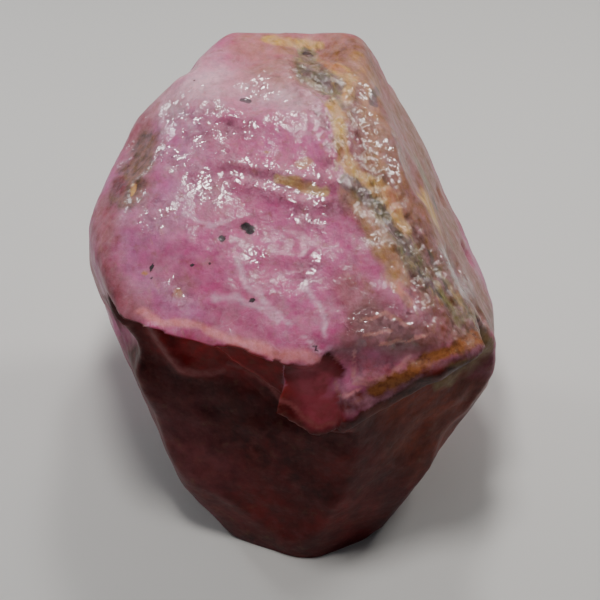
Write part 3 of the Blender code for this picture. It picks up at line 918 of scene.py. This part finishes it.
    # loose dark specks, in a few of the cells
    cells = nodes.new("ShaderNodeTexVoronoi")
    cells.inputs["Scale"].default_value = stoneFinish["speckCells"]
    links.new(place, cells.inputs["Vector"])
    chosen = nodes.new("ShaderNodeSeparateColor")
    links.new(cells.outputs["Color"], chosen.inputs["Color"])
    speck = math2("MULTIPLY", ramp(cells.outputs["Distance"], *stoneFinish["speckRadius"]),
                  ramp(chosen.outputs["Red"], *stoneFinish["speckRarity"]))
    skin = mix(math2("MULTIPLY", speck, stoneFinish["speckShare"]), skin, stoneFinish["looseSpecks"])

    # underside colour: its own deep red with painted shade, laid below the lip
    darkRedAndShade = mix(ramp(cloud(place, *stoneFinish["deepCloud"]), 0.35, 0.7), *stoneFinish["darkRedAndShade"])
    darkRedAndShade = laid(darkRedAndShade, darkRedAndShadeLayers)
    under = attribute("below")
    colour = mix(under, skin, darkRedAndShade)
    shade = nodes.new("ShaderNodeMix")
    shade.data_type = "RGBA"
    shade.blend_type = "MULTIPLY"
    shade.inputs["Factor"].default_value = stoneFinish["shadeShare"]
    links.new(colour, shade.inputs[6])
    links.new(ramp(cloud(place, *stoneFinish["shadeCloud"]), 0.25, 0.6), shade.inputs[7])
    links.new(shade.outputs[2], surface.inputs["Base Color"])

    gloss = ramp(cloud(place, *stoneFinish["roughCloud"]), 0.3, 0.7, *stoneFinish["topRoughness"])
    links.new(blendLevel(under, gloss, stoneFinish["underRoughness"]), surface.inputs["Roughness"])
    wet = math2("MULTIPLY", glint, stoneFinish["wetGlints"], True)
    wet = math2("MAXIMUM", wet, math2("MULTIPLY", crust, stoneFinish["wetCrust"]))
    wet = math2("MAXIMUM", wet, stoneFinish["wetSkin"])
    links.new(blendLevel(under, wet, stoneFinish["wetBreak"]), surface.inputs["Coat Weight"])

    # dents, grain and small leaning facets of the skin
    dents = math2("MULTIPLY", cloud(place, *stoneFinish["dentCloud"]), stoneFinish["dentHeight"])
    grain = math2("MULTIPLY", cloud(place, *stoneFinish["grainCloud"]), stoneFinish["grainHeight"])
    height = math2("ADD", dents, grain)
    lumps = math2("MULTIPLY", crustGrain, stoneFinish["crustHeight"])
    height = math2("ADD", height, math2("MULTIPLY", lumps, crust))
    broken = math2("MAXIMUM", glint, math2("MULTIPLY", crust, stoneFinish["facetsOnCrust"]))
    broken = math2("MAXIMUM", broken, stoneFinish["facetsOnSkin"])
    broken = math2("MULTIPLY", broken, math2("SUBTRACT", 1.0, under, True))
    bendScale, bendReach = stoneFinish["facetBend"]
    bend = nodes.new("ShaderNodeTexNoise")
    bend.inputs["Scale"].default_value = bendScale
    links.new(place, bend.inputs["Vector"])
    bent = vectorMath("MULTIPLY", bend.outputs["Color"], (bendReach, bendReach, bendReach))
    bent = vectorMath("ADD", place, bent)
    for scale, slope in stoneFinish["facetSlopes"]:
        height = math2("ADD", height, math2("MULTIPLY", facets(bent, scale, slope), broken))
    bump = nodes.new("ShaderNodeBump")
    bump.inputs["Strength"].default_value = 1.0
    bump.inputs["Distance"].default_value = 0.001
    links.new(height, bump.inputs["Height"])
    links.new(bump.outputs["Normal"], surface.inputs["Normal"])
    links.new(bump.outputs["Normal"], surface.inputs["Coat Normal"])

    surface.inputs["IOR"].default_value = stoneFinish["ior"]
    surface.inputs["Subsurface Weight"].default_value = stoneFinish["subsurface"]
    surface.inputs["Subsurface Radius"].default_value = stoneFinish["scatter"]
    surface.inputs["Subsurface Scale"].default_value = stoneFinish["scatterDepth"]
    surface.inputs["Specular IOR Level"].default_value = stoneFinish["specular"]
    surface.inputs["Coat Roughness"].default_value = stoneFinish["coatRoughness"]
    surface.inputs["Coat IOR"].default_value = stoneFinish["coatIor"]
    return material


studio = {
    "tableSize": 0.5,
    "tableColour": (0.80, 0.79, 0.77),
    "tableRoughness": 0.75,
    "tableMottle": (60.0, 0.95),    # scale, darkest tone
    "lens": 90.0,
    "distance": 0.0413,
    "elevation": 50.0,
    "lamps": {              # place in metres, size, watts, colour
        "key": ((-0.003, -0.004, 0.047), 0.0075, 0.0085, (1.0, 0.97, 0.94)),
        "high": ((0.003, 0.0144, 0.045), 0.007, 0.0048, (1.0, 0.98, 0.95)),
        "backLeft": ((-0.032, 0.022, 0.022), 0.0075, 0.0038, (0.96, 0.98, 1.0)),
        "backRight": ((0.029, 0.019, 0.034), 0.0085, 0.0062, (1.0, 0.98, 0.95)),
        "overhead": ((-0.02, 0.04, 0.13), 0.16, 0.018, (0.96, 0.98, 1.0)),
        "fill": ((-0.07, -0.03, 0.06), 0.05, 0.0015, (0.93, 0.96, 1.0)),
    },
    "sky": (0.32, 0.34, 0.37),
    "skyStrength": 0.12,
}


def setTable():
    deselectAll()
    bpy.ops.mesh.primitive_plane_add(size=studio["tableSize"])
    table = bpy.context.object
    table.name = "table"
    finish = bpy.data.materials.new("paleTable")
    finish.use_nodes = True
    nodes, links = finish.node_tree.nodes, finish.node_tree.links
    surface = nodes["Principled BSDF"]
    surface.inputs["Roughness"].default_value = studio["tableRoughness"]
    mottleScale, darkest = studio["tableMottle"]
    coordinates = nodes.new("ShaderNodeTexCoord")
    mottle = nodes.new("ShaderNodeTexNoise")
    mottle.inputs["Scale"].default_value = mottleScale
    links.new(coordinates.outputs["Object"], mottle.inputs["Vector"])
    blend = nodes.new("ShaderNodeMix")
    blend.data_type = "RGBA"
    blend.inputs[6].default_value = (*studio["tableColour"], 1.0)
    blend.inputs[7].default_value = (*(tone * darkest for tone in studio["tableColour"]), 1.0)
    links.new(mottle.outputs["Fac"], blend.inputs["Factor"])
    links.new(blend.outputs[2], surface.inputs["Base Color"])
    table.data.materials.append(finish)


def aim(thing, target):
    thing.rotation_euler = (target - thing.location).to_track_quat("-Z", "Y").to_euler()


def setLamps(target):
    for name, (place, size, watts, tint) in studio["lamps"].items():
        light = bpy.data.lights.new(name, "AREA")
        light.shape = "DISK"
        light.size = size
        light.energy = watts
        light.color = tint
        lamp = bpy.data.objects.new(name, light)
        lamp.location = place
        bpy.context.scene.collection.objects.link(lamp)
        aim(lamp, target)
    world = bpy.data.worlds.new("studio")
    world.use_nodes = True
    world.node_tree.nodes["Background"].inputs["Color"].default_value = (*studio["sky"], 1.0)
    world.node_tree.nodes["Background"].inputs["Strength"].default_value = studio["skyStrength"]
    bpy.context.scene.world = world


def setCamera(target):
    lens = bpy.data.cameras.new("camera")
    lens.lens = studio["lens"]
    lens.sensor_width = 36.0
    lens.clip_start = 0.001
    lens.clip_end = 10.0
    camera = bpy.data.objects.new("camera", lens)
    up = math.radians(studio["elevation"])
    camera.location = target + Vector((0, -math.cos(up), math.sin(up))) * studio["distance"]
    bpy.context.scene.collection.objects.link(camera)
    aim(camera, target)
    bpy.context.scene.camera = camera


# noise_vector's offsets come from the clock unless they are seeded
noise.seed_set(crystal["seed"])
print("growing the blank")
ruby = growBlank()
print("breaking the front")
breakFront(ruby)
print("painting the zones")
paintZones(ruby)
print("raising the relief")
raiseRelief(ruby)
print("laying it down")
growthCentre = layDown(ruby)
print("finishing the surface")
ruby.data.materials.clear()
ruby.data.materials.append(rubyMaterial())
print("setting the studio")
setTable()
setLamps(growthCentre)
setCamera(growthCentre)

print("triangles", sum(len(face.vertices) - 2 for face in ruby.data.polygons))
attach(ruby, "root")
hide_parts("ruby_crystal")
